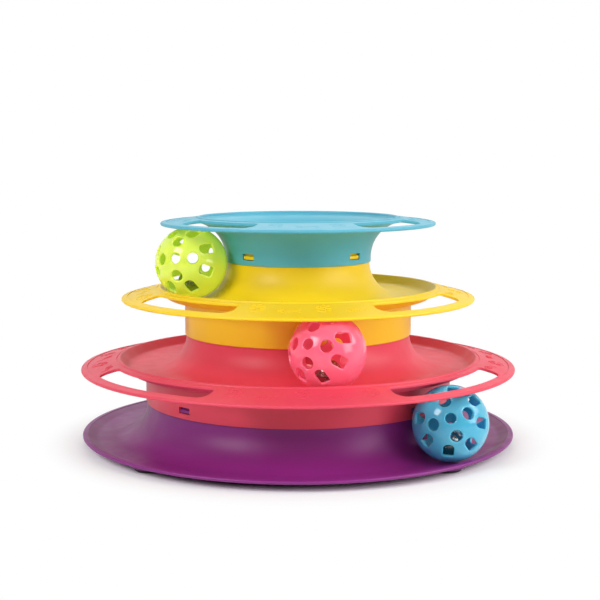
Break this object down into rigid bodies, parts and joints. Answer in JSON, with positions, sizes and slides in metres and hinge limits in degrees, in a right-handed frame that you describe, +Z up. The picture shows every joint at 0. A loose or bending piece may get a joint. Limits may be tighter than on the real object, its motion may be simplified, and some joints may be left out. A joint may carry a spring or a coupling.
{
  "type": "cat ball track toy",
  "caption": "Round tiered cat toy: stacked open tracks that narrow upwards, each trapping a hollow bell ball, with hand slots in the brims and a dish on top.",
  "frame": {"origin": "middle of the footprint, on the ground under the pads", "axes": "+Z up along the tower's axis, the pictured side faces -Y, +X to its right"},
  "size_m": [0.25, 0.25, 0.1296],
  "materials": {
    "purple_plastic": "satin moulded plastic",
    "red_plastic": "satin moulded plastic",
    "yellow_plastic": "satin moulded plastic",
    "teal_plastic": "satin moulded plastic",
    "green_ball_plastic": "glossy, slightly translucent",
    "pink_ball_plastic": "glossy, slightly translucent",
    "blue_ball_plastic": "glossy, slightly translucent",
    "bell_metal": "plated sheet metal",
    "pellet_steel": "plain steel",
    "black_rubber": "matte"
  },
  "bodies": {
    "tower": {"base_tier": "purple_plastic", "lower_tier": "red_plastic", "middle_tier": "yellow_plastic", "top_tier": "teal_plastic", "foot_front_left": "black_rubber", "foot_front_right": "black_rubber", "foot_back_left": "black_rubber", "foot_back_right": "black_rubber"},
    "green_bell": {"green_bell_top": "bell_metal", "green_bell_bottom": "bell_metal", "green_bell_pellet": "pellet_steel"},
    "green_ball": {"green_ball_front_shell": "green_ball_plastic", "green_ball_back_shell": "green_ball_plastic"},
    "pink_bell": {"pink_bell_top": "bell_metal", "pink_bell_bottom": "bell_metal", "pink_bell_pellet": "pellet_steel"},
    "pink_ball": {"pink_ball_front_shell": "pink_ball_plastic", "pink_ball_back_shell": "pink_ball_plastic"},
    "blue_bell": {"blue_bell_top": "bell_metal", "blue_bell_bottom": "bell_metal", "blue_bell_pellet": "pellet_steel"},
    "blue_ball": {"blue_ball_front_shell": "blue_ball_plastic", "blue_ball_back_shell": "blue_ball_plastic"}
  },
  "joints": [
    {"name": "green_run", "type": "hinge", "parent": "tower", "child": "green_bell", "pos_m": [0, 0, 0.10449], "axis": [0, 0, 1], "continuous": true},
    {"name": "green_roll", "type": "hinge", "parent": "green_bell", "child": "green_ball", "pos_m": [-0.05995, -0.02182, 0.10449], "axis": [-0.9397, -0.342, 0], "continuous": true},
    {"name": "pink_run", "type": "hinge", "parent": "tower", "child": "pink_bell", "pos_m": [0, 0, 0.06419], "axis": [0, 0, 1], "continuous": true},
    {"name": "pink_roll", "type": "hinge", "parent": "pink_bell", "child": "pink_ball", "pos_m": [0.01514, -0.08588, 0.06419], "axis": [0.1736, -0.9848, 0], "continuous": true},
    {"name": "blue_run", "type": "hinge", "parent": "tower", "child": "blue_bell", "pos_m": [0, 0, 0.0244], "axis": [0, 0, 1], "continuous": true},
    {"name": "blue_roll", "type": "hinge", "parent": "blue_bell", "child": "blue_ball", "pos_m": [0.08045, -0.07502, 0.0244], "axis": [0.7314, -0.682, 0], "continuous": true}
  ],
  "couplings": [
    {"joint": "green_roll", "follows": "green_run", "ratio": -3.1429},
    {"joint": "pink_roll", "follows": "pink_run", "ratio": -4.2956},
    {"joint": "blue_roll", "follows": "blue_run", "ratio": -5.4187}
  ]
}
